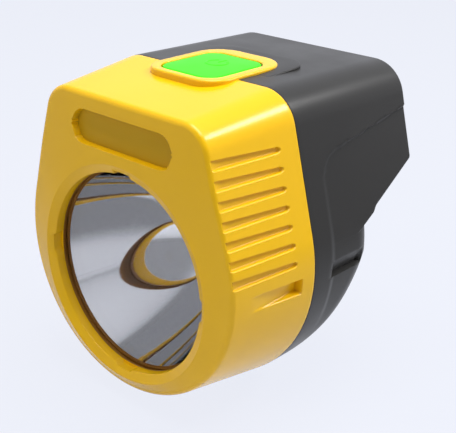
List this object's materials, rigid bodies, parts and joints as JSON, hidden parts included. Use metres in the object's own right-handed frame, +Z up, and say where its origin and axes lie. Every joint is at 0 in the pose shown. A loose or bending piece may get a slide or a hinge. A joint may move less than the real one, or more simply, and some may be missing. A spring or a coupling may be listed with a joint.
{
  "type": "miner's cap lamp",
  "caption": "Cordless cap lamp with a round reflector in a yellow front shell, a push button on top and a spring clip for a helmet bracket.",
  "frame": {"origin": "centre of the outer face of the helmet clip's plate, where a helmet bracket's tongue bears", "axes": "+Y points out of that face, away from the light; +Z points up; -Y is the way the lamp shines"},
  "size_m": [0.0744, 0.0705, 0.08],
  "materials": {
    "yellow_shell": "satin moulded",
    "black_shell": "fine satin",
    "clear_lens": "clear polished",
    "reflector_mirror": "vacuum metallised",
    "black_rubber": "matt",
    "grey_silicone": "matt",
    "dark_plastic": "matt",
    "bare_aluminium": "machined",
    "white_board": "solder mask",
    "led_phosphor": "silicone dome",
    "screw_steel": "zinc plated",
    "spring_steel": "stamped stainless",
    "green_button": "satin moulded",
    "green_board": "solder mask",
    "chip_black": "moulded",
    "plunger_white": "moulded",
    "cell_foil": "laminated foil",
    "foam": "closed cell",
    "red_wire": "silicone",
    "white_wire": "silicone",
    "contact_brass": "plated"
  },
  "bodies": {
    "lamp_body": {"front_bezel": "yellow_shell", "lens_gasket": "black_rubber", "front_lens": "clear_lens", "reflector": "reflector_mirror", "retaining_ring": "dark_plastic", "heat_sink": "bare_aluminium", "led_board": "white_board", "led_package": "white_board", "led_dome": "led_phosphor", "sink_screws": "screw_steel", "housing_seal": "black_rubber", "rear_housing": "black_shell", "housing_screws": "screw_steel", "button_membrane": "grey_silicone", "switch_body": "chip_black", "control_board": "green_board", "board_parts": "chip_black", "board_screws": "screw_steel", "upper_cell": "cell_foil", "lower_cell": "cell_foil", "foam_pads": "foam", "battery_leads": "red_wire", "led_leads": "white_wire", "charge_contacts": "contact_brass", "helmet_clip": "spring_steel", "clip_screws": "screw_steel"},
    "button": {"power_button": "green_button"},
    "plunger": {"switch_plunger": "plunger_white"}
  },
  "joints": [
    {"name": "button_press", "type": "slide", "parent": "lamp_body", "child": "button", "axis": [0, 0, -1], "range_m": [0, 0.0006], "stiffness_N_per_m": 2000, "springref_m": -0.0005, "deforming": ["button_membrane"]},
    {"name": "switch_press", "type": "slide", "parent": "lamp_body", "child": "plunger", "axis": [0, 0, -1], "range_m": [0, 0.0006]}
  ],
  "couplings": [
    {"joint": "switch_press", "follows": "button_press", "ratio": 1}
  ]
}
